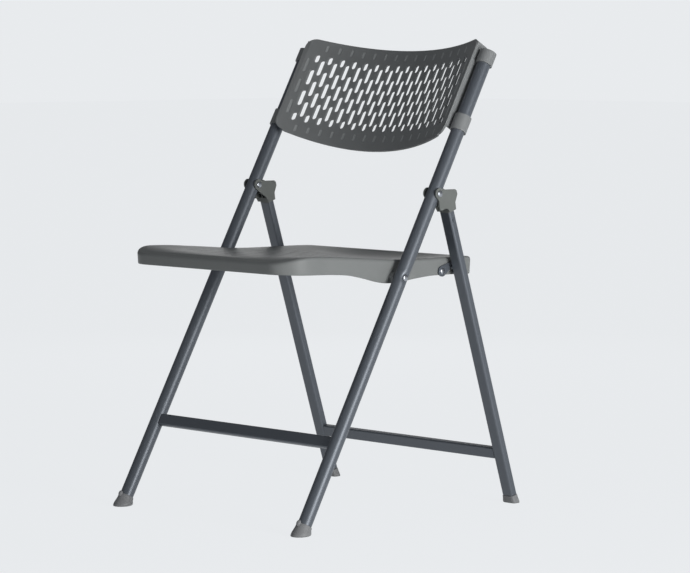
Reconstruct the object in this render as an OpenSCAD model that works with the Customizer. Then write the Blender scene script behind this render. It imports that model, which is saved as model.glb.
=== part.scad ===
// Folding chair: round front tubes that carry a slotted backrest, rectangular
// rear legs hinged to them, and a moulded seat slung between the two frames.
// Millimetres. The chair faces -Y, up is +Z, the floor is z = 0.

/* [Frame] */
// Distance from the centre plane to a front tube's axis
half_w = 240; // [200:1:280]
// Outside diameter of the front tubes
tube_d = 25.4; // [20:0.2:32]
// Wall of every steel tube
wall = 1.5; // [1:0.1:2.5]
// Backward lean of the front tubes from upright, degrees
front_lean = 29.6; // [20:0.1:35]
// Forward lean of the rear legs from upright, degrees
rear_lean = 17.8; // [10:0.1:25]
// Height of the seat pivot above the floor
seat_pivot_z = 438.5; // [380:0.5:480]
// Length of tube from the seat pivot up to the upper pivot
pivot_gap = 170; // [140:0.5:200]
// Length of tube from the seat pivot up to its top end
tube_up = 458; // [380:1:520]

/* [Rear legs] */
// Rear leg section across the chair
leg_w = 25; // [18:0.5:32]
// Rear leg section front to back
leg_t = 15; // [10:0.5:20]
// Corner radius of the rear leg section
leg_r = 4; // [1:0.5:6]
// How far the leg axis lies behind the upper pivot
leg_back = 23; // [22.4:0.1:30]
// Distance down the leg from the upper pivot to the tube's top end
leg_top = 43; // [36:0.5:60]

/* [Crossbars] */
// Height of the front crossbar above the floor
front_bar_z = 154; // [100:1:220]
// Height of the rear crossbar above the floor
rear_bar_z = 89; // [70:1:160]
// Crossbar section height
bar_h = 22; // [14:0.5:30]
// Crossbar section thickness
bar_t = 12; // [8:0.5:16]

/* [Seat] */
// Half the width of the seat
seat_half = 219; // [180:1:222]
// Length of the seat in front of its pivot
seat_front = 256; // [200:1:280]
// Length of the seat behind its pivot
seat_rear = 211; // [170:1:230]
// Wall of the seat moulding
seat_wall = 3.6; // [2.5:0.1:5]
// Depth of the seat's hollow in the middle
seat_dish = 12; // [4:0.5:18]
// Radius of the seat's front corners
seat_corner = 54; // [30:1:90]

/* [Backrest] */
// Half the width of the backrest
back_half = 226; // [180:1:226]
// Bottom of the backrest at its sides, along the tube from the seat pivot
back_low = 285; // [250:1:320]
// Top of the backrest along the tube from the seat pivot
back_high = 482; // [400:1:540]
// How far the bottom edge hangs below its ends
back_drop = 18; // [5:1:40]
// How far the backrest's middle lies behind its sides
back_sag = 54; // [15:1:70]
// How far the backrest's sides lie in front of the tubes' axes
back_fwd = 20; // [15:0.5:26]
// Thickness of the backrest panel
back_t = 4; // [3:0.1:6]
// Width of one slot
slot_w = 10; // [4:0.1:10.4]
// Length of a long slot
slot_long = 33; // [20:0.5:34]
// Length of a short slot
slot_short = 17; // [10:0.5:20]
// Spacing of slots along a column
slot_pitch = 45; // [38:0.5:52]
// Spacing of the slot columns
column_pitch = 13.1; // [11:0.1:14]
// Columns each side of the middle one
columns = 15; // [9:2:15]

/* [Hardware] */
// Radius of the pivot rivets
rivet_r = 3; // [2:0.1:4]
// Radius of a pivot rivet's head
head_r = 6; // [4:0.1:8]
// Radius of the stud that carries the seat's rear end
stud_r = 4; // [3:0.1:5]
// Thickness of the seat's rear plates
plate_t = 3; // [2:0.1:4]

/* [Hidden] */
fit = 0.05;
play = 0.4;
round_fn = 48;
small_fn = 32;
tube_r = tube_d / 2;
cheek_gap = tube_r + 0.25;
cheek_t = 3.2;
cheek_out = cheek_gap + cheek_t;
pivot_z = seat_pivot_z + pivot_gap * cos(front_lean);
foot_u = -seat_pivot_z / cos(front_lean);
foot_a = -pivot_z / cos(rear_lean);
// distances front to back, from the front tube's axis at the floor
pivot2_y = seat_pivot_z * tan(front_lean);
pivot1_y = pivot_z * tan(front_lean);
mid_y = 266.3;
// rear plate rivet, seen from the seat pivot
plate_y = 127;
plate_z = 3.7;
plate_nose = 10;
// along the leg from the upper pivot to the stud
stud_a = -152;
back_r = (back_half * back_half + back_sag * back_sag) / (2 * back_sag);
long_len = 1200;
seat_top = [[-250, 466], [-246, 476], [-236, 482], [-220, 485], [-190, 485], [-150, 482], [-100, 478],
            [-50, 474], [0, 470], [60, 468], [120, 467], [211, 465]];
seat_low = [[211, 432], [150, 435], [100, 435], [50, 431], [20, 426], [-15, 426], [-40, 431],
            [-75, 440], [-110, 447], [-150, 450], [-190, 451], [-250, 452]];

// seat pivot frame: Z runs up the front tube, Y is square to it, rearward
module front_frame() {
  translate([0, pivot2_y - mid_y, seat_pivot_z]) rotate([-front_lean, 0, 0]) children();
}

// upper pivot frame: Z runs up the rear leg, Y is square to it, rearward
module rear_frame() {
  translate([0, pivot1_y - mid_y, pivot_z]) rotate([rear_lean, 0, 0]) children();
}

// seat frame: at the seat pivot, square to the floor
module seat_frame() {
  translate([0, pivot2_y - mid_y, 0]) children();
}

// a rod along X from x0 to x1
module rod(x0, x1, r, n = small_fn) {
  translate([x0, 0, 0]) rotate([0, 90, 0]) cylinder(h = x1 - x0, r = r, $fn = n);
}

// an outline in the side plane, extruded along X from x0 to x1
module slab(x0, x1) {
  translate([x0, 0, 0]) rotate([90, 0, 90]) linear_extrude(height = x1 - x0) children();
}

module round_rect(w, t, r) {
  square([w - 2 * r, t], center = true);
  square([w, t - 2 * r], center = true);
  for (sx = [-1, 1], sy = [-1, 1])
    translate([sx * (w / 2 - r), sy * (t / 2 - r)]) circle(r = r, $fn = small_fn);
}

// everything above the floor
module above_floor() {
  translate([-long_len, -long_len, 0]) cube([2 * long_len, 2 * long_len, 2 * long_len]);
}

// ---- front frame ----

// Round steel tube, bored for both pivot rivets.
module front_tube(s) {
  color([0.34, 0.38, 0.44]) front_frame() difference() {
    translate([s * half_w, 0, foot_u + 10]) cylinder(h = tube_up - foot_u - 10, r = tube_r, $fn = round_fn);
    translate([s * half_w, 0, foot_u]) cylinder(h = long_len, r = tube_r - wall, $fn = round_fn);
    for (u = [0, pivot_gap])
      translate([s * half_w, 0, u]) rod(-tube_d, tube_d, rivet_r + fit);
  }
}

// Flat bar between the tubes, its ends scooped to fit round them.
module front_crossbar() {
  u = foot_u + front_bar_z / cos(front_lean);
  color([0.34, 0.38, 0.44]) front_frame() difference() {
    translate([-half_w, 0, u]) rotate([90, 0, 90]) linear_extrude(height = 2 * half_w)
      difference() {
        round_rect(bar_t, bar_h, 3);
        round_rect(bar_t - 2 * wall, bar_h - 2 * wall, 1.5);
      }
    for (s = [-1, 1]) translate([s * half_w, 0, u - bar_h])
      cylinder(h = 2 * bar_h, r = tube_r + fit, $fn = round_fn);
  }
}

// Flared plastic foot with a flat sole and a bumper on its front.
module front_foot(s) {
  color([0.42, 0.43, 0.43]) intersection() {
    front_frame() translate([s * half_w, 0, 0]) difference() {
      union() {
        translate([0, 0, foot_u - 14]) cylinder(h = 37, r1 = tube_r + 7, r2 = tube_r + 2, $fn = round_fn);
        translate([0, -tube_r - 2, foot_u + 20]) sphere(r = 5, $fn = small_fn);
      }
      translate([0, 0, foot_u + 9.8]) cylinder(h = 60, r = tube_r + fit, $fn = round_fn);
    }
    above_floor();
  }
}

// outline of the backrest, X across and Y up the tube
module back_outline() {
  r = 20;
  drop_r = (back_half * back_half + back_drop * back_drop) / (2 * back_drop);
  difference() {
    union() {
      translate([-back_half, back_low]) square([2 * back_half, back_high - r - back_low]);
      translate([r - back_half, back_high - 2 * r]) square([2 * back_half - 2 * r, 2 * r]);
      for (s = [-1, 1]) translate([s * (back_half - r), back_high - r]) circle(r = r, $fn = round_fn);
      intersection() {
        translate([0, back_low - back_drop + drop_r]) circle(r = drop_r, $fn = 240);
        translate([-back_half, back_low - back_drop]) square([2 * back_half, back_drop + 1]);
      }
    }
    for (s = [-1, 1]) translate([s * back_half, back_low]) difference() {
      square([2 * r, 2 * r], center = true);
      translate([-s * r, r]) circle(r = r, $fn = round_fn);
    }
  }
}

module slot(len) {
  square([slot_w, len - slot_w], center = true);
  for (s = [-1, 1]) translate([0, s * (len - slot_w) / 2]) circle(r = slot_w / 2, $fn = 16);
}

// staggered columns: three long slots, or two long between two short
module slot_pattern() {
  mid_u = (back_low + back_high) / 2 - 4;
  for (i = [-columns : columns]) translate([i * column_pitch, mid_u]) {
    if (abs(i) % 2 == 0) for (k = [-1 : 1]) translate([0, k * slot_pitch]) slot(slot_long);
    else {
      for (k = [-1, 1]) translate([0, k * slot_pitch / 2]) slot(slot_long);
      for (k = [-1, 1])
        translate([0, k * (slot_pitch * 1.5 - (slot_long - slot_short) / 2 + 3.5)]) slot(slot_short);
    }
  }
}

// Curved slotted panel with a cap over each tube top and a collar below.
module backrest() {
  color([0.42, 0.44, 0.44]) front_frame() difference() {
    union() {
      difference() {
        intersection() {
          translate([0, back_sag - back_fwd - back_r, 0]) cylinder(h = long_len, r = back_r + back_t / 2, $fn = 240);
          translate([0, 60, 0]) rotate([90, 0, 0]) linear_extrude(height = 100) back_outline();
        }
        translate([0, back_sag - back_fwd - back_r, -1])
          cylinder(h = long_len + 2, r = back_r - back_t / 2, $fn = 240);
        translate([0, 60, 0]) rotate([90, 0, 0]) linear_extrude(height = 100) slot_pattern();
      }
      for (s = [-1, 1]) translate([s * half_w, 0, 0]) {
        translate([0, 0, tube_up - 22]) cylinder(h = 26, r = tube_r + 3, $fn = round_fn);
        translate([0, 0, back_low + 12]) cylinder(h = 31, r = tube_r + 3, $fn = round_fn);
        // side wall that joins the panel to the cap and the collar
        translate([-s * (half_w - back_half + 2) - 2, -back_fwd, back_low + 14])
          cube([4, back_fwd + 6, back_high - back_low - 22]);
      }
    }
    for (s = [-1, 1]) translate([s * half_w, 0, back_low - back_drop])
      cylinder(h = tube_up - back_low + back_drop + fit, r = tube_r + fit, $fn = round_fn);
  }
}

// Rivet through tube, cheeks and all, with a low domed head at each end.
module headed_rivet(x0, x1) {
  rod(x0, x1, rivet_r);
  translate([x1, 0, 0]) rotate([0, 90, 0]) cylinder(h = 2.2, r1 = head_r, r2 = head_r - 2.2, $fn = small_fn);
  translate([x0, 0, 0]) rotate([0, -90, 0]) cylinder(h = 2.2, r1 = head_r, r2 = head_r - 2.2, $fn = small_fn);
}

module hinge_rivet(s) {
  color([0.75, 0.76, 0.78]) front_frame() translate([s * half_w, 0, pivot_gap])
    headed_rivet(-cheek_out - play, cheek_out + play);
}

// Rivet that carries the seat: its outer head sits on the tube, its inner
// head is inside the seat's side wall.
module seat_rivet(s) {
  inner = half_w - seat_half + seat_wall + 6 + play;
  color([0.75, 0.76, 0.78]) front_frame() translate([s * half_w, 0, 0])
    headed_rivet(s > 0 ? -inner : -tube_r - 0.2, s > 0 ? tube_r + 0.2 : inner);
}

// Plastic spacer on the rivet between the tube and the seat's side.
module seat_spacer(s) {
  color([0.42, 0.44, 0.44]) front_frame() difference() {
    translate([s * half_w, 0, 0])
      rod(s > 0 ? seat_half - half_w + play : tube_r - 2, s > 0 ? 2 - tube_r : half_w - seat_half - play, 9);
    translate([s * half_w, 0, 0]) rod(-tube_d, tube_d, rivet_r + fit);
    translate([s * half_w, 0, -20]) cylinder(h = 40, r = tube_r + fit, $fn = round_fn);
  }
}

// ---- seat ----

// plan outline of the seat about its pivot line
module seat_plan(inset) {
  r = seat_corner;
  difference() {
    translate([-seat_half + inset, -seat_front + inset])
      square([2 * (seat_half - inset), seat_front + seat_rear - 2 * inset]);
    for (s = [-1, 1]) translate([s * seat_half, -seat_front]) difference() {
      square([2 * r, 2 * r], center = true);
      translate([-s * r, r]) circle(r = r - inset, $fn = round_fn);
    }
  }
}

// side profile stretched to the seat's own length
function seat_pt(p) = [p[0] < 0 ? p[0] * seat_front / 250 : p[0] * seat_rear / 211,
                       p[1] + seat_pivot_z - 438.5];

module seat_profile() {
  polygon(concat([for (p = seat_top) seat_pt(p)], [for (p = seat_low) seat_pt(p)]));
}

module seat_hollow(lift) {
  r = seat_half * seat_half / (2 * seat_dish) * 0.72;
  translate([0, 0, seat_pivot_z + 31.5 - seat_dish + r + lift]) rotate([93, 0, 0])
    cylinder(h = long_len, r = r, center = true, $fn = 480);
}

// Moulded seat: dished top, skirt all round, ribs beneath.
module seat() {
  boss = 6;
  color([0.42, 0.44, 0.44]) seat_frame() difference() {
    union() {
      difference() {
        intersection() {
          translate([0, 0, seat_pivot_z - 60]) linear_extrude(height = 140) seat_plan(0);
          slab(-seat_half, seat_half) seat_profile();
        }
        seat_hollow(0);
        // pocket beneath: the same shape, one wall in
        difference() {
          intersection() {
            translate([0, 0, seat_pivot_z - 70]) linear_extrude(height = 140) seat_plan(seat_wall);
            slab(-seat_half, seat_half) translate([0, -seat_wall]) union() {
              seat_profile();
              translate([-seat_front, seat_pivot_z - 60]) square([seat_front + seat_rear, 80]);
            }
          }
          translate([0, 0, 0]) seat_hollow(-seat_wall);
        }
      }
      // ribs beneath
      difference() {
        intersection() {
          translate([0, 0, seat_pivot_z - 60]) linear_extrude(height = 140) seat_plan(1);
          slab(-seat_half + 1, seat_half - 1) seat_profile();
          union() {
            for (x = [-140, -70, 0, 70, 140])
              translate([x - 1.5, -seat_front, seat_pivot_z + 8]) cube([3, seat_front + seat_rear, 60]);
            for (y = [-170, -85, 60, 140])
              translate([-seat_half, y - 1.5, seat_pivot_z + 8]) cube([2 * seat_half, 3, 60]);
          }
        }
        seat_hollow(-1);
      }
      // thick pads inside the side walls round the pivots
      for (s = [-1, 1]) {
        translate([s * (seat_half - (seat_wall + boss) / 2), 0, seat_pivot_z])
          rod(-(seat_wall + boss) / 2, (seat_wall + boss) / 2, 9.5);
        translate([s * (seat_half - (seat_wall + boss) / 2), plate_y, seat_pivot_z + plate_z])
          rod(-(seat_wall + boss) / 2, (seat_wall + boss) / 2, 9);
      }
    }
    for (s = [-1, 1]) {
      translate([s * seat_half, 0, seat_pivot_z]) rod(-20, 20, rivet_r + fit);
      translate([s * seat_half, plate_y, seat_pivot_z + plate_z]) rod(-20, 20, rivet_r + fit);
    }
  }
}

// where the stud lies, from the seat pivot
function stud_at() = [pivot1_y - pivot2_y + leg_back * cos(rear_lean) - stud_a * sin(rear_lean),
                      pivot_z - seat_pivot_z + leg_back * sin(rear_lean) + stud_a * cos(rear_lean)];

function arc(c, r, a0, a1, step) = [for (a = [a0 : step : a1]) c + r * [cos(a), sin(a)]];

// Steel plate riveted to the seat's side; its rear end hooks over the stud.
module seat_plate(s) {
  st = stud_at();
  color([0.62, 0.63, 0.65]) seat_frame() translate([0, 0, seat_pivot_z])
    slab(s > 0 ? seat_half : -seat_half - plate_t, s > 0 ? seat_half + plate_t : -seat_half)
      difference() {
        polygon(concat(
          arc([plate_y, plate_z], plate_nose, 110, 325, 15),
          // the hook opens forward and down
          [st + (stud_r + fit) * [cos(155), sin(155)] + 8 * [cos(-115), sin(-115)]],
          arc(st, stud_r + fit, 155, -25, -15),
          [st + (stud_r + fit) * [cos(-25), sin(-25)] + 8 * [cos(-100), sin(-100)]],
          arc(st, stud_r + 8, -75, 75, 15)));
        translate([plate_y, plate_z]) circle(r = rivet_r + fit, $fn = small_fn);
      }
}

module plate_rivet(s) {
  inner = seat_wall + 6;
  color([0.75, 0.76, 0.78]) seat_frame() translate([s * seat_half, plate_y, seat_pivot_z + plate_z])
    headed_rivet(s > 0 ? -inner : -plate_t, s > 0 ? plate_t : inner);
}

// ---- rear frame ----

// Rectangular steel tube, open at the top for the cap's plug.
module rear_leg(s) {
  color([0.34, 0.38, 0.44]) rear_frame() difference() {
    translate([s * half_w, leg_back, foot_a + 10]) linear_extrude(height = -foot_a - 10 - leg_top)
      difference() {
        round_rect(leg_w, leg_t, leg_r);
        round_rect(leg_w - 2 * wall, leg_t - 2 * wall, leg_r - wall);
      }
    translate([s * (half_w + leg_w / 2), leg_back, -leg_top - 17]) rod(-6, 6, 2 + fit);
    translate([s * (half_w - leg_w / 2), leg_back, stud_a]) rod(-6, 6, stud_r - 1 + fit);
  }
}

module rear_crossbar() {
  a = foot_a + rear_bar_z / cos(rear_lean);
  x = half_w - leg_w / 2 - fit;
  color([0.34, 0.38, 0.44]) rear_frame() translate([-x, leg_back, a]) rotate([90, 0, 90])
    linear_extrude(height = 2 * x) difference() {
      round_rect(bar_t, bar_h, 3);
      round_rect(bar_t - 2 * wall, bar_h - 2 * wall, 1.5);
    }
}

// side outline of the cap's cheeks, about the upper pivot; the outer one
// reaches further down over the front tube
module cheek_outline(outer) {
  t = leg_back + leg_t / 2;
  f = leg_back - leg_t / 2;
  circle(r = 10.5, $fn = round_fn);
  back = [[-2, 10.2], [8, 5], [t + 9.5, -5.5], [t + 12.3, -9], [t + 12.3, -16], [t + 3, -28],
          [t + 1, 2 - leg_top], [f - 1, 2 - leg_top]];
  polygon(concat(back, outer ? [[f - 3, -34], [5, -30.5], [-3, -31], [-8, -29.5], [-7.5, -20], [-5.5, -12], [-8.5, -6]]
                             : [[f - 4, -30], [-7.5, -7.3]]));
}

module web_outline() {
  t = leg_back + leg_t / 2;
  f = tube_r + 0.7;
  polygon([[t + 9, -7], [t + 12, -12], [t + 3, -28], [t + 1, 2 - leg_top],
           [leg_back - leg_t / 2 - 1, 2 - leg_top], [f, -36], [f, -12], [f + 5, -5]]);
}

// Plastic cap: plug in the rear leg, two cheeks round the front tube.
module hinge_cap(s) {
  color([0.42, 0.43, 0.43]) rear_frame() difference() {
    union() {
      translate([s * half_w, 0, 0]) {
        for (c = [-1, 1]) slab(c > 0 ? cheek_gap : -cheek_out, c > 0 ? cheek_out : -cheek_gap)
          cheek_outline(c == s);
        slab(-cheek_gap, cheek_gap) web_outline();
        translate([0, leg_back, 0]) {
          translate([0, 0, -leg_top]) linear_extrude(height = 3) round_rect(leg_w, leg_t, leg_r);
          translate([0, 0, -leg_top - 32]) linear_extrude(height = 33)
            round_rect(leg_w - 2 * wall - 2 * fit, leg_t - 2 * wall - 2 * fit, leg_r - wall);
        }
      }
    }
    // square hollows in the plug's front
    for (i = [-1, 1], j = [0, 1])
      translate([s * half_w + i * 5.5 - 4, tube_r, -22 - j * 10]) cube([8, 14, 7.5]);
    translate([s * half_w, 0, 0]) rod(-40, 40, rivet_r + fit);
    translate([s * (half_w + leg_w / 2), leg_back, -leg_top - 17]) rod(-9, 9, 1.6);
  }
}

// Small screw that holds the cap's plug in the leg.
module cap_screw(s) {
  color([0.75, 0.76, 0.78]) rear_frame()
    translate([s * (half_w + leg_w / 2), leg_back, -leg_top - 17]) {
      rod(s > 0 ? -8 : 0, s > 0 ? 0 : 8, 1.55);
      rod(s > 0 ? 0 : -1.6, s > 0 ? 1.6 : 0, 3.6);
    }
}

// Headless stud on the leg's inner face; the seat's plate rests on it.
module leg_stud(s) {
  x0 = seat_half + 0.6;
  x1 = half_w - leg_w / 2;
  color([0.75, 0.76, 0.78]) rear_frame() translate([0, leg_back, stud_a]) {
    rod(s > 0 ? x0 : -x1, s > 0 ? x1 : -x0, stud_r);
    rod(s > 0 ? x1 - 1 : -x1 - wall - 1, s > 0 ? x1 + wall + 1 : 1 - x1, stud_r - 1);
  }
}

// Square flared boot with a flat sole.
module rear_foot(s) {
  flare = leg_back - tube_r - 1.3;
  color([0.42, 0.43, 0.43]) intersection() {
    rear_frame() translate([s * half_w, leg_back, 0]) difference() {
      union() {
        translate([0, 0, foot_a - 10]) linear_extrude(height = 27) round_rect(leg_w + 3.4, 2 * flare - 1, 4);
        translate([0, 0, foot_a - 10]) linear_extrude(height = 17) round_rect(leg_w + 6, 2 * flare, 4);
      }
      translate([0, 0, foot_a + 9.8]) linear_extrude(height = 60)
        round_rect(leg_w + 2 * fit, leg_t + 2 * fit, leg_r);
    }
    above_floor();
  }
}

front_tube(-1);  // left_front_tube
front_tube(1);  // right_front_tube
front_crossbar();
front_foot(-1);  // left_front_foot
front_foot(1);  // right_front_foot
backrest();
hinge_rivet(-1);  // left_hinge_rivet
hinge_rivet(1);  // right_hinge_rivet
seat_rivet(-1);  // left_seat_rivet
seat_rivet(1);  // right_seat_rivet
seat_spacer(-1);  // left_seat_spacer
seat_spacer(1);  // right_seat_spacer
seat();
seat_plate(-1);  // left_seat_plate
seat_plate(1);  // right_seat_plate
plate_rivet(-1);  // left_plate_rivet
plate_rivet(1);  // right_plate_rivet
rear_leg(-1);  // left_rear_leg
rear_leg(1);  // right_rear_leg
rear_crossbar();
hinge_cap(-1);  // left_hinge_cap
hinge_cap(1);  // right_hinge_cap
cap_screw(-1);  // left_cap_screw
cap_screw(1);  // right_cap_screw
leg_stud(-1);  // left_leg_stud
leg_stud(1);  // right_leg_stud
rear_foot(-1);  // left_rear_foot
rear_foot(1);  // right_rear_foot
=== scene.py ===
import math
import bmesh
import bpy
import numpy as np
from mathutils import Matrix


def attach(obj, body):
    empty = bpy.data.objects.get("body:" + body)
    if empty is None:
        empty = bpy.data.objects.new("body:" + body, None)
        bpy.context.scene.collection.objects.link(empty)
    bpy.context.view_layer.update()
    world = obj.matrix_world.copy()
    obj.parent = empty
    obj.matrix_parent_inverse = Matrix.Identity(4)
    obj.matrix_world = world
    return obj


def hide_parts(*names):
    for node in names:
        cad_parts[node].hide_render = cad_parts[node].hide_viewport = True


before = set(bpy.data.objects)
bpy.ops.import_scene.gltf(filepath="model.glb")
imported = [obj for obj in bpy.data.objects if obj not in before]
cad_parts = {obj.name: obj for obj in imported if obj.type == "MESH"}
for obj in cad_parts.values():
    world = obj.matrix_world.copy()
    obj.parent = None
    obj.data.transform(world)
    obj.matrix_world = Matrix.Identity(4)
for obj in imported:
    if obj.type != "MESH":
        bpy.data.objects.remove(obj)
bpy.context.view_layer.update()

# ---- camera, lights and ground ----
# A long lens at knee height, in front and to the chair's left, and three soft
# panels of light on a pale ground.

view_turn = math.radians(45.6)
view_rise = math.radians(4.7)
camera = bpy.data.cameras.new("camera")
camera.lens = 154.5
camera.sensor_width = 36.0
camera_ob = bpy.data.objects.new("camera", camera)
camera_ob.location = (3.946, -3.7863, 0.857)
camera_ob.rotation_euler = (math.pi / 2 - view_rise, 0.0, view_turn)
bpy.context.collection.objects.link(camera_ob)
bpy.context.scene.camera = camera_ob
bpy.context.scene.view_settings.view_transform = "Standard"


def soft_lamp(name, place, aim, size, watts):
    """A square panel of light at a place, turned to face an aim point."""
    lamp = bpy.data.lights.new(name, "AREA")
    lamp.size = size
    lamp.energy = watts
    ob = bpy.data.objects.new(name, lamp)
    ob.location = place
    away = np.array(place) - np.array(aim)
    flat = math.hypot(away[0], away[1])
    heading = math.atan2(away[1], away[0]) + math.pi / 2
    ob.rotation_euler = (math.atan2(flat, away[2]), 0.0, heading)
    bpy.context.collection.objects.link(ob)


soft_lamp("key", (3.3, -0.35, 0.66), (0, 0, 0.45), 1.3, 84)
soft_lamp("fill", (0.2, -3.6, 0.7), (0, 0, 0.6), 1.2, 10)
soft_lamp("back", (-2.2, 2.2, 1.1), (0, 0, 0.6), 1.2, 7)


class Sock:
    """A shader socket that can be used in sums, so that maths reads as maths."""

    def __init__(self, tree, out):
        self.tree, self.out = tree, out

    def maths(self, operation, *others):
        values = dict(enumerate((self,) + others))
        return self.tree.node("ShaderNodeMath", {"operation": operation}, values)

    def __add__(self, other):
        return self.maths("ADD", other)

    def __sub__(self, other):
        return self.maths("SUBTRACT", other)

    def __rsub__(self, other):
        return (self * -1.0) + other

    def __mul__(self, other):
        return self.maths("MULTIPLY", other)

    def __truediv__(self, other):
        return self.maths("DIVIDE", other)

    __radd__, __rmul__ = __add__, __mul__


class Finish:
    """A new material and one method that adds any node to it."""

    def __init__(self, name):
        self.mat = bpy.data.materials.new(name)
        self.mat.use_nodes = True
        self.nodes, self.links = self.mat.node_tree.nodes, self.mat.node_tree.links
        self.nodes.clear()

    def node(self, kind, settings=None, inputs=None, out=0):
        n = self.nodes.new(kind)
        for key, value in (settings or {}).items():
            if key == "stops":
                ramp = n.color_ramp
                ramp.elements[0].position, ramp.elements[0].color = value[0][0], value[0][1]
                ramp.elements[1].position, ramp.elements[1].color = value[-1][0], value[-1][1]
                for place, colour in value[1:-1]:
                    ramp.elements.new(place).color = colour
            else:
                setattr(n, key, value)
        for key, value in (inputs or {}).items():
            if isinstance(value, Sock):
                self.links.new(value.out, n.inputs[key])
            else:
                n.inputs[key].default_value = value
        return Sock(self, n.outputs[out]) if n.outputs else None

    def place(self):
        return self.node("ShaderNodeTexCoord", out="Object")

    def noise(self, scale, detail=3.0, where=None):
        values = {"Vector": where or self.place(), "Scale": scale, "Detail": detail}
        return self.node("ShaderNodeTexNoise", {}, values)

    def blend(self, amount, first, second):
        """Mix two colours by an amount."""
        n = self.nodes.new("ShaderNodeMix")
        n.data_type = "RGBA"
        for index, value in ((0, amount), (6, first), (7, second)):
            if isinstance(value, Sock):
                self.links.new(value.out, n.inputs[index])
            else:
                n.inputs[index].default_value = value
        return Sock(self, n.outputs[2])

    def bump(self, height, strength, reach):
        return self.node("ShaderNodeBump", {}, {"Height": height, "Strength": strength, "Distance": reach})

    def surface(self, **inputs):
        values = {key.replace("_", " "): value for key, value in inputs.items()}
        shader = self.node("ShaderNodeBsdfPrincipled", {}, values)
        self.node("ShaderNodeOutputMaterial", {}, {"Surface": shader})
        return self.mat


ground = Finish("ground")
seen = ground.node("ShaderNodeLightPath", out="Is Camera Ray")
shiny = ground.node("ShaderNodeLightPath", out="Is Glossy Ray")
glow = ground.node("ShaderNodeEmission", {}, {"Color": (0.805, 0.825, 0.845, 1.0), "Strength": 1.05})
pale = ground.node("ShaderNodeBsdfDiffuse", {}, {"Color": (0.80, 0.81, 0.82, 1.0)})
glow_share = seen.maths("MAXIMUM", shiny) * 0.93
floor_shader = ground.node("ShaderNodeMixShader", {}, {0: glow_share, 1: pale, 2: glow})
ground.node("ShaderNodeOutputMaterial", {}, {"Surface": floor_shader})
floor_reach, floor_level = 30.0, -0.0005
across, along = np.meshgrid([-floor_reach, floor_reach], [-floor_reach, floor_reach])
floor_points = np.stack([across.ravel(), along.ravel(), np.full(4, floor_level)], 1)
floor_mesh = bpy.data.meshes.new("floor")
floor_mesh.from_pydata(floor_points.tolist(), [], [(0, 1, 3, 2)])
floor = bpy.data.objects.new("floor", floor_mesh)
floor_mesh.materials.append(ground.mat)
bpy.context.collection.objects.link(floor)
world = bpy.data.worlds.new("studio")
world.use_nodes = True
sky = world.node_tree
for spare in list(sky.nodes):
    sky.nodes.remove(spare)
sky_path = sky.nodes.new("ShaderNodeLightPath")
sky_mix = sky.nodes.new("ShaderNodeMixShader")
sky_seen = sky.nodes.new("ShaderNodeBackground")
sky_light = sky.nodes.new("ShaderNodeBackground")
sky_out = sky.nodes.new("ShaderNodeOutputWorld")
sky_seen.inputs[0].default_value = (0.81, 0.83, 0.85, 1.0)
sky_light.inputs[0].default_value = (0.92, 0.95, 1.0, 1.0)
sky_light.inputs[1].default_value = 0.17
sky.links.new(sky_path.outputs["Is Camera Ray"], sky_mix.inputs[0])
sky.links.new(sky_light.outputs[0], sky_mix.inputs[1])
sky.links.new(sky_seen.outputs[0], sky_mix.inputs[2])
sky.links.new(sky_mix.outputs[0], sky_out.inputs[0])
bpy.context.scene.world = world


# ---- front tubes ----
# Round steel tube, bent nowhere, powder coated a satin blue-grey. Each is
# pressed in a little where the seat rivet draws it up.

def coated_steel():
    """Satin coat: faint flake in the colour, a soft orange-peel surface, scuffs that dull it."""
    f = Finish("coated_steel")
    flake = f.noise(1400.0, 2.0)
    wear = f.noise(9.0, 5.0)
    tint = f.blend(wear, (0.100, 0.113, 0.132, 1), (0.118, 0.133, 0.153, 1))
    tint = f.blend(flake * 0.05, tint, (0.20, 0.22, 0.26, 1))
    peel = f.noise(420.0, 2.0)
    return f.surface(Base_Color=tint, Metallic=0.3, Roughness=wear * 0.10 + 0.36,
                     Normal=f.bump(peel, 0.02, 0.0001))


def wrap_grid(rows, columns):
    """Quads over a grid of points, row after row, joined round in the column direction."""
    r, c = np.meshgrid(np.arange(rows - 1), np.arange(columns), indexing="ij")
    here, there = r * columns + c, r * columns + (c + 1) % columns
    return np.stack([here, there, there + columns, here + columns], -1).reshape(-1, 4)


def add_piece(name, points, faces, material, body, nodes, smooth=35.0):
    """A mesh object from points and faces, its normals turned outward, riding on a body."""
    mesh = bpy.data.meshes.new(name)
    corners = np.asarray(points, float).reshape(-1, 3).tolist()
    mesh.from_pydata(corners, [], [tuple(map(int, f)) for f in faces])
    shell = bmesh.new()
    shell.from_mesh(mesh)
    bmesh.ops.remove_doubles(shell, verts=shell.verts, dist=1e-6)
    bmesh.ops.recalc_face_normals(shell, faces=shell.faces)
    shell.to_mesh(mesh)
    shell.free()
    mesh.materials.append(material)
    ob = bpy.data.objects.new(name, mesh)
    bpy.context.collection.objects.link(ob)
    mesh.shade_smooth()
    mesh.set_sharp_from_angle(angle=math.radians(smooth))
    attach(ob, body)
    if nodes:
        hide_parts(*nodes)
    return ob


front_lean = math.radians(29.6)
half_width = 0.240
pivot_height = 0.4385
toe_to_middle = 0.2663
seat_pivot = np.array([0.0, pivot_height * math.tan(front_lean) - toe_to_middle, pivot_height])
up_tube = np.array([0.0, math.sin(front_lean), math.cos(front_lean)])
off_tube = np.array([0.0, math.cos(front_lean), -math.sin(front_lean)])
sideways = np.array([1.0, 0.0, 0.0])


def on_front(x, u, v):
    """Point from the seat pivot: x across, u up the front tube, v square to it and rearward."""
    up_and_off = np.multiply.outer(u, up_tube) + np.multiply.outer(v, off_tube)
    return seat_pivot + np.multiply.outer(x, sideways) + up_and_off


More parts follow.
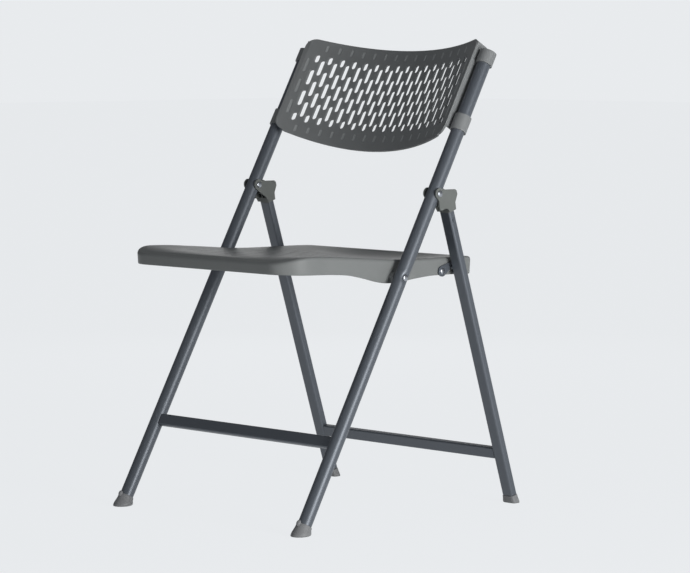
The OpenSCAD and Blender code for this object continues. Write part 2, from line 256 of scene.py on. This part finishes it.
steel = coated_steel()
tube_radius = 0.0127
hinge_u = 0.170
tube_top = 0.458
foot_end = -pivot_height / math.cos(front_lean)
tube_foot = foot_end + 0.010
dent_depth, dent_reach = 0.0021, 0.0085


def front_tube(side):
    """Radius is the tube's, less a smooth bell-shaped dent on the outer side round the seat rivet."""
    near_hinge = hinge_u + np.linspace(-0.02, 0.02, 21)
    near = np.concatenate([np.linspace(-0.022, 0.022, 29), near_hinge])
    u = np.unique(np.concatenate([np.linspace(tube_foot, tube_top, 60), near]))
    turn = np.linspace(0, 2 * np.pi, 49)[:-1]
    ug, tg = np.meshgrid(u, turn, indexing="ij")
    arc = tube_radius * np.abs(np.angle(np.exp(1j * (tg - (0 if side > 0 else np.pi)))))
    dent = dent_depth * np.exp(-((ug ** 2 + arc ** 2) / dent_reach ** 2) ** 1.5)
    radius = tube_radius - dent
    pts = on_front(side * half_width + radius * np.cos(tg), ug, radius * np.sin(tg)).reshape(-1, 3)
    n = len(turn)
    ends = [list(range(n)), list(range(len(pts) - n, len(pts)))]
    return pts, wrap_grid(len(u), n).tolist() + ends


for side, word in ((-1, "left"), (1, "right")):
    points, faces = front_tube(side)
    add_piece(f"{word}_tube_shell", points, faces, steel, "front_frame",
              [f"{word}_front_tube"])


# ---- crossbars and rear legs ----
# Flat and rectangular steel tube with rolled corners, coated with the rest.

def softened(node, name, material, body, width, segments=2, angle=40.0):
    """A copy of a moulded or rolled part with its sharp corners rounded by a small bevel."""
    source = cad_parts[node]
    mesh = source.data.copy()
    mesh.name = name
    shell = bmesh.new()
    shell.from_mesh(mesh)
    bmesh.ops.remove_doubles(shell, verts=shell.verts, dist=2e-6)
    bmesh.ops.dissolve_limit(shell, angle_limit=math.radians(0.6), verts=shell.verts, edges=shell.edges)
    shell.to_mesh(mesh)
    shell.free()
    mesh.materials.clear()
    mesh.materials.append(material)
    ob = bpy.data.objects.new(name, mesh)
    bpy.context.collection.objects.link(ob)
    mesh.shade_smooth()
    bevel = ob.modifiers.new("edge", "BEVEL")
    bevel.width = width
    bevel.segments = segments
    bevel.limit_method = "ANGLE"
    bevel.angle_limit = math.radians(angle)
    bevel.harden_normals = True
    mesh.set_sharp_from_angle(angle=math.radians(50))
    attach(ob, body)
    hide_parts(node)
    return ob


def keep_node(node, material):
    """Give a part its finish as it stands."""
    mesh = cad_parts[node].data
    mesh.materials.clear()
    mesh.materials.append(material)


for node in ("front_crossbar", "rear_crossbar", "left_rear_leg", "right_rear_leg"):
    keep_node(node, steel)


# ---- backrest ----
# One grey moulding: a slotted panel curved round the sitter's back, with caps
# over the tube tops, collars round the tubes below, and a ring of blind slots.

def moulded_grey(name, dark, light, slots=None):
    """Grained grey plastic; slots(f) gives 1 in a blind slot, which is sunk by the bump and painted lighter
    as painted light.
    """
    f = Finish(name)
    cloud = f.noise(14.0, 4.0)
    grain = f.noise(2300.0, 2.0)
    spark = f.node("ShaderNodeTexVoronoi", {}, {"Vector": f.place(), "Scale": 1500.0}, out="Distance")
    tint = f.blend(cloud, dark, light)
    relief = grain * 0.6 + spark * 0.5
    rough = cloud * 0.12 + 0.42
    if slots is None:
        return f.surface(Base_Color=tint, Roughness=rough, Specular_IOR_Level=0.25,
                         Normal=f.bump(relief, 0.22, 0.00012))
    sunk = slots(f)
    # Painted light: the blind slots are painted lighter than the surface round them, standing in for light
    # on their walls.
    slot_painted_light = tuple(1.9 * part for part in dark[:3]) + (1,)
    tint = f.blend(sunk * 0.7, tint, slot_painted_light)
    height = relief * 0.08 - sunk
    return f.surface(Base_Color=tint, Roughness=rough, Specular_IOR_Level=0.25,
                     Normal=f.bump(height, 0.9, 0.0009))


def lozenge(across, along, half_long, radius):
    """1 inside a round-ended slot centred on zero: distance to its centre line, less its radius."""
    beyond = (along.maths("ABSOLUTE") - half_long).maths("MAXIMUM", 0.0)
    away = (across * across + beyond * beyond).maths("SQRT")
    return ((radius - away) / 0.0007 + 0.5).maths("MINIMUM", 1.0).maths("MAXIMUM", 0.0)


def inside(value, low, high):
    return value.maths("GREATER_THAN", low) * value.maths("LESS_THAN", high)


def column_offset(value, pitch, start=0.0):
    """Distance from the nearest line of a row of evenly spaced ones."""
    return (value - start).maths("PINGPONG", pitch / 2)


def object_axes(f):
    """The three coordinates of a point on a piece, each on a socket of its own."""
    xyz = f.node("ShaderNodeSeparateXYZ", {}, {0: f.place()})
    return [Sock(f, xyz.out.node.outputs[i]) for i in range(3)]


back_mid = 0.3795
column_pitch = 0.0262
slot_pitch = 0.045


def back_ring(f):
    """Blind slots: a short one over and under every other column, long ones down each side."""
    x, y, z = object_axes(f)
    rear, rise = y - seat_pivot[1], z - seat_pivot[2]
    u = rear * math.sin(front_lean) + rise * math.cos(front_lean) - back_mid
    v = rear * math.cos(front_lean) - rise * math.sin(front_lean)
    ends = lozenge(column_offset(x, column_pitch), u.maths("ABSOLUTE") - 0.0865, 0.0045, 0.0026)
    ends = ends * inside(x, -0.205, 0.205)
    sides = lozenge(x.maths("ABSOLUTE") - 0.2105, column_offset(u, slot_pitch), 0.012, 0.0026)
    sides = sides * inside(u, -0.066, 0.066)
    return ends.maths("MAXIMUM", sides) * inside(v, -0.04, 0.06)


back_plastic = moulded_grey("backrest_plastic", (0.205, 0.214, 0.216, 1), (0.245, 0.254, 0.256, 1),
                            back_ring)
softened("backrest", "backrest_moulding", back_plastic, "front_frame", 0.0007, 2, 40)


# ---- rivets ----
# Zinc-plated steel with low domed heads, dulled a little by handling.

def bright_zinc():
    """Plated steel: fine random scratches in the roughness and a faint spangle."""
    f = Finish("bright_zinc")
    scratch = f.noise(900.0, 4.0)
    spangle = f.noise(160.0, 2.0)
    tint = f.blend(spangle, (0.34, 0.36, 0.39, 1), (0.46, 0.48, 0.51, 1))
    return f.surface(Base_Color=tint, Metallic=1.0, Roughness=scratch * 0.2 + 0.24,
                     Normal=f.bump(scratch, 0.1, 0.0001))


zinc = bright_zinc()


def turned(profile, centre, axis, first, steps=48):
    """A profile of (distance along the axis, radius) turned about the axis through a centre."""
    along, radius = np.asarray(profile, float).T
    second = np.cross(axis, first)
    turn = np.linspace(0, 2 * np.pi, steps + 1)[:-1]
    ring = np.multiply.outer(np.cos(turn), first) + np.multiply.outer(np.sin(turn), second)
    pts = centre + along[:, None, None] * axis + radius[:, None, None] * ring
    n = steps
    last = (len(along) - 1) * n
    faces = wrap_grid(len(along), n).tolist() + [list(range(n)), list(range(last, last + n))]
    return pts.reshape(-1, 3), faces


def rivet_profile(x0, x1, shank, head, high):
    """Shank between two heads whose domes are quarter ellipses."""
    rise = np.linspace(0, np.pi / 2, 9)[:-1]
    rim = 0.0004
    dome = np.stack([x1 + rim + (high - rim) * np.sin(rise), head * np.cos(rise)], 1)
    seat_face = [[x1, shank], [x1, head * 0.96], [x1 + 0.0002, head]]
    right = np.concatenate([seat_face, dome, [[x1 + high, 0.0004]]])
    left = right[::-1].copy()
    left[:, 0] = x0 + x1 - left[:, 0]
    return np.concatenate([left, right])


shank_radius, head_radius, head_height = 0.0029, 0.006, 0.0022


def rivet(name, centre, x0, x1, body, node):
    profile = rivet_profile(x0, x1, shank_radius, head_radius, head_height)
    points, faces = turned(profile, centre, sideways, np.array([0.0, 1.0, 0.0]))
    add_piece(name, points, faces, zinc, body, [node], 50.0)


cheek_gap, cheek_wall, head_play = 0.00025, 0.0032, 0.0004
cheek_reach = tube_radius + cheek_gap + cheek_wall + head_play
seat_side = 0.219
for side, word in ((-1, "left"), (1, "right")):
    hinge_at = on_front(side * half_width, hinge_u, 0.0)
    rivet(f"{word}_hinge_rivet_form", hinge_at, -cheek_reach, cheek_reach, "front_frame",
          f"{word}_hinge_rivet")
    outer, inner = 0.0116, half_width - seat_side + 0.010
    span = (-inner, outer) if side > 0 else (-outer, inner)
    rivet(f"{word}_seat_rivet_form", on_front(side * half_width, 0.0, 0.0), *span, "front_frame",
          f"{word}_seat_rivet")
    plate_at = seat_pivot + np.array([side * seat_side, 0.127, 0.0037])
    span = (-0.0096, 0.003) if side > 0 else (-0.003, 0.0096)
    rivet(f"{word}_plate_rivet_form", plate_at, *span, "seat", f"{word}_plate_rivet")


# ---- seat ----
# Moulded in the same grey as the backrest: a dished top with blind slots, a
# deep skirt all round, and ribs beneath that stiffen it.

seat_front, seat_back, seat_half = -0.256, 0.211, 0.219


def seat_outline(count):
    """Rounded rectangle walked corner by corner: wide front corners, small rear ones."""
    small, wide = 0.012, 0.054
    corners = [(seat_half, seat_back, small, 0.0), (-seat_half, seat_back, small, 90.0),
               (-seat_half, seat_front, wide, 180.0), (seat_half, seat_front, wide, 270.0)]
    path = []
    for x, y, r, a0 in corners:
        turn = np.radians(a0 + np.linspace(0, 90, 25))
        centre_x, centre_y = x - np.sign(x) * r, y - np.sign(y) * r
        path.append(np.stack([centre_x + r * np.cos(turn), centre_y + r * np.sin(turn)], 1))
    path = np.concatenate(path + [path[0][:1]])
    steps = np.concatenate([[0], np.cumsum(np.hypot(*np.diff(path, axis=0).T))])
    even = np.linspace(0, steps[-1], count + 1)[:-1]
    return np.stack([np.interp(even, steps, path[:, k]) for k in (0, 1)], 1)


def eased(y, knots):
    """Straight runs between knots, averaged over a short reach so that they join smoothly."""
    ky, kz = np.array(knots).T
    reach = np.linspace(-0.014, 0.014, 9)
    return np.mean([np.interp(y + r, ky, kz) for r in reach], axis=0)


rim_knots = [(-0.262, 0.4725), (-0.236, 0.4805), (-0.220, 0.484), (-0.190, 0.484), (-0.150, 0.482),
             (-0.100, 0.478), (-0.050, 0.474), (0.0, 0.4695), (0.060, 0.4675), (0.120, 0.467),
             (0.170, 0.4665), (0.230, 0.465)]
skirt_knots = [(-0.260, 0.4535), (-0.190, 0.4515), (-0.150, 0.450), (-0.110, 0.447), (-0.075, 0.440),
               (-0.040, 0.431), (-0.015, 0.427), (0.020, 0.427), (0.050, 0.431), (0.100, 0.435),
               (0.150, 0.435), (0.230, 0.4325)]


def seat_top(x, y):
    """Rim height, less a dish that is deepest along the middle and fades at the rims."""
    span = np.clip(1 - (x / 0.206) ** 2, 0, 1)
    length = np.clip((y - seat_front - 0.012) / 0.09, 0, 1) * np.clip((seat_back - 0.004 - y) / 0.05, 0, 1)
    dish = 0.0115
    return eased(y, rim_knots) - dish * span ** 1.2 * (3 * length ** 2 - 2 * length ** 3) ** 0.5


def seat_shell():
    """Rings from the top's middle out over the rim, down the skirt, round its lip and back beneath."""
    edge = seat_outline(320)
    middle = np.array([0.0, -0.02])
    out = edge - middle
    inward = -out / np.hypot(*out.T)[:, None]
    wall, soft = 0.0036, 0.006
    rings = []
    for k in np.concatenate([[0.004], np.linspace(0.04, 0.955, 34)]):
        p = middle + out * k
        rings.append(np.column_stack([p, seat_top(p[:, 0], p[:, 1])]))
    rim = seat_top(edge[:, 0], edge[:, 1])
    lip = eased(edge[:, 1], skirt_knots)
    for turn in np.linspace(90, 0, 8):
        a = math.radians(turn)
        p = edge + inward * soft * (1 - math.cos(a))
        rings.append(np.column_stack([p, rim - soft * (1 - math.sin(a))]))
    draft, lip_round = 0.0012, 0.0015
    for part in (0.25, 0.5, 0.75):
        height = (rim - soft) * (1 - part) + (lip + lip_round) * part
        rings.append(np.column_stack([edge + inward * draft * part, height]))
    for turn in np.linspace(0, 180, 9):
        a = math.radians(turn)
        p = edge + inward * (draft + wall / 2 * (1 - math.cos(a)))
        rings.append(np.column_stack([p, lip + lip_round - lip_round * math.sin(a)]))
    beneath = rim - wall - 0.002
    p = edge + inward * (wall + 0.0016)
    rings.append(np.column_stack([p, beneath - 0.004]))
    rings.append(np.column_stack([edge + inward * (wall + 0.006), beneath]))
    for k in np.linspace(0.93, 0.04, 24):
        p = middle + out * k
        rings.append(np.column_stack([p, seat_top(p[:, 0], p[:, 1]) - wall]))
    pts = np.concatenate(rings)
    pts[:, 1] += seat_pivot[1]
    n = len(edge)
    faces = wrap_grid(len(rings), n).tolist() + [list(range(n)), list(range(len(pts) - n, len(pts)))]
    return pts, faces


def seat_slots(f):
    """Blind slots in staggered columns over the sitting area."""
    x, y, z = object_axes(f)
    half_long, radius = 0.0118, 0.0033
    even = lozenge(column_offset(x, column_pitch), column_offset(y, slot_pitch), half_long, radius)
    odd = lozenge(column_offset(x, column_pitch, column_pitch / 2),
                  column_offset(y, slot_pitch, slot_pitch / 2), half_long, radius)
    area = inside(x, -0.165, 0.165) * inside(y, seat_pivot[1] - 0.185, seat_pivot[1] + 0.12)
    return even.maths("MAXIMUM", odd) * area * inside(z, 0.4515, 0.6)


seat_plastic = moulded_grey("seat_plastic", (0.195, 0.205, 0.203, 1), (0.235, 0.245, 0.242, 1),
                            seat_slots)
points, faces = seat_shell()
add_piece("seat_moulding", points, faces, seat_plastic, "seat", ["seat"], 60.0)


def seat_ribs():
    """Thin upright walls, each a long box whose top follows the underside of the dish."""
    blocks, quads = [], []
    runs = [(x, None) for x in (-0.140, -0.070, 0.0, 0.070, 0.140)]
    runs += [(None, y) for y in (-0.170, -0.085, 0.060, 0.140)]
    steps, half_thick = 25, 0.0015
    t = np.linspace(0, 1, steps)
    for fixed_x, fixed_y in runs:
        if fixed_y is None:
            x, y = np.full(steps, fixed_x), seat_front + 0.010 + t * (seat_back - seat_front - 0.016)
            push = np.array([half_thick, 0.0])
        else:
            x, y = (t * 2 - 1) * (seat_half - 0.008), np.full(steps, fixed_y)
            push = np.array([0.0, half_thick])
        top = seat_top(x, y) - 0.003
        low = np.maximum(np.minimum(0.4465, seat_top(x, y) - 0.006), eased(y, skirt_knots) + 0.001)
        corners = ((1, top), (1, low), (-1, low), (-1, top))
        loop = [np.column_stack([x + way * push[0], y + way * push[1], z]) for way, z in corners]
        first = sum(len(b) for b in blocks)
        blocks.append(np.stack(loop, 1).reshape(-1, 3))
        last = first + len(blocks[-1]) - 4
        quads += (wrap_grid(steps, 4) + first).tolist()
        quads += [list(range(first, first + 4)), list(range(last, last + 4))]
    pts = np.concatenate(blocks)
    pts[:, 1] += seat_pivot[1]
    return pts, quads


points, faces = seat_ribs()
add_piece("seat_ribs", points, faces, seat_plastic, "seat", [])

spacer_grey = moulded_grey("spacer_plastic", (0.17, 0.18, 0.182, 1), (0.205, 0.215, 0.216, 1))
for word in ("left", "right"):
    keep_node(f"{word}_seat_spacer", spacer_grey)


# ---- seat plates and leg studs ----
# Stamped steel plates, coated like the legs and riveted to the seat's sides.
# Each hooks over a turned stud in the rear leg. The cap screws are coated too.

for word in ("left", "right"):
    softened(f"{word}_seat_plate", f"{word}_seat_plate_form", steel, "seat", 0.0004)
    keep_node(f"{word}_leg_stud", zinc)
    keep_node(f"{word}_cap_screw", steel)


# ---- hinge caps ----
# Glass-filled plastic, moulded in one: a plug for the leg and two cheeks that
# hold the front tube.

cap_plastic = moulded_grey("cap_plastic", (0.145, 0.155, 0.148, 1), (0.18, 0.19, 0.182, 1))
for word in ("left", "right"):
    softened(f"{word}_hinge_cap", f"{word}_hinge_cap_form", cap_plastic, "rear_frame",
             0.0008, 3)


# ---- feet ----
# Tough grey plastic boots, pushed on. The front ones are round, with a flat
# sole and a bumper in front; the rear ones are square and flare to the floor.

foot_plastic = moulded_grey("foot_plastic", (0.21, 0.215, 0.22, 1), (0.26, 0.265, 0.27, 1))
rear_lean = math.radians(17.8)
hinge_pivot = on_front(0.0, hinge_u, 0.0)
up_leg = np.array([0.0, -math.sin(rear_lean), math.cos(rear_lean)])
off_leg = np.array([0.0, math.cos(rear_lean), math.sin(rear_lean)])
leg_behind_hinge = 0.023
leg_axis = hinge_pivot + leg_behind_hinge * off_leg
leg_end = -leg_axis[2] / math.cos(rear_lean)


def boot(base, up, off, rings, power, steps=64):
    """Each ring is (height up the axis, half width, half depth): a rounded square or a circle.
    Its plane turns from level at the sole to square across the leg at the top."""
    turn = np.linspace(0, 2 * np.pi, steps + 1)[:-1]
    cosine, sine = np.cos(turn), np.sin(turn)
    cx = np.sign(cosine) * np.abs(cosine) ** (2 / power)
    cy = np.sign(sine) * np.abs(sine) ** (2 / power)
    top = max(r[0] for r in rings)
    level = np.array([0.0, 1.0, 0.0]) / off[1]
    pts = []
    for high, wide, deep in rings:
        t = min(1.0, max(0.0, high / top))
        across = level * (1 - t) + off * t
        ring = np.multiply.outer(wide * cx, sideways) + np.multiply.outer(deep * cy, across)
        pts.append(base + up * high + ring)
    last = steps * (len(rings) - 1)
    faces = wrap_grid(len(rings), steps).tolist()
    faces += [list(range(steps)), list(range(last, last + steps))]
    return np.concatenate(pts), faces


round_profile = [(0.0, 0.0125), (0.0, 0.0148), (0.0004, 0.0158), (0.0014, 0.0166), (0.003, 0.0169),
                 (0.006, 0.0168), (0.009, 0.0160), (0.012, 0.0151), (0.015, 0.0146), (0.0185, 0.0143),
                 (0.0196, 0.0140), (0.0202, 0.0133), (0.0203, 0.0129)]
round_rings = [(height, radius, radius) for height, radius in round_profile]
square_rings = [(0.0, 0.0120, 0.0065), (0.0, 0.0142, 0.0080), (0.0004, 0.0150, 0.0086),
                (0.0015, 0.01545, 0.0089), (0.004, 0.0154, 0.0089), (0.0062, 0.0150, 0.0088),
                (0.009, 0.0144, 0.0086), (0.012, 0.0139, 0.0085), (0.0152, 0.0136, 0.0084),
                (0.0160, 0.0133, 0.0081), (0.0162, 0.0127, 0.0077)]


def bumper_ball(centre):
    """An egg on the tube's front: an ellipsoid longest along the tube."""
    rows, columns = 15, 28
    lat = np.linspace(-np.pi / 2, np.pi / 2, rows + 2)[1:-1]
    lon = np.linspace(0, 2 * np.pi, columns + 1)[:-1]
    lat, lon = np.meshgrid(lat, lon, indexing="ij")
    wide, deep, tall = 0.0042, 0.0040, 0.0058
    pts = (centre + np.multiply.outer(wide * np.cos(lat) * np.cos(lon), sideways)
           + np.multiply.outer(deep * np.cos(lat) * np.sin(lon), off_tube)
           + np.multiply.outer(tall * np.sin(lat), up_tube)).reshape(-1, 3)
    last = columns * (rows - 1)
    return pts, wrap_grid(rows, columns).tolist() + [list(range(columns)), list(range(last, last + columns))]


bumper_height, bumper_proud = 0.0185, 0.0023
for side, word in ((-1, "left"), (1, "right")):
    toe = on_front(side * half_width, foot_end, 0.0)
    points, faces = boot(toe, up_tube, off_tube, round_rings, 2.0)
    add_piece(f"{word}_front_boot", points, faces, foot_plastic, "front_frame",
              [f"{word}_front_foot"], 50.0)
    bumper_at = on_front(side * half_width, foot_end + bumper_height, -tube_radius - bumper_proud)
    points, faces = bumper_ball(bumper_at)
    add_piece(f"{word}_front_bumper", points, faces, foot_plastic, "front_frame", [], 60.0)
    sole = leg_axis + leg_end * up_leg + side * half_width * sideways
    points, faces = boot(sole, up_leg, off_leg, square_rings, 4.5)
    add_piece(f"{word}_rear_boot", points, faces, foot_plastic, "rear_frame",
              [f"{word}_rear_foot"], 50.0)
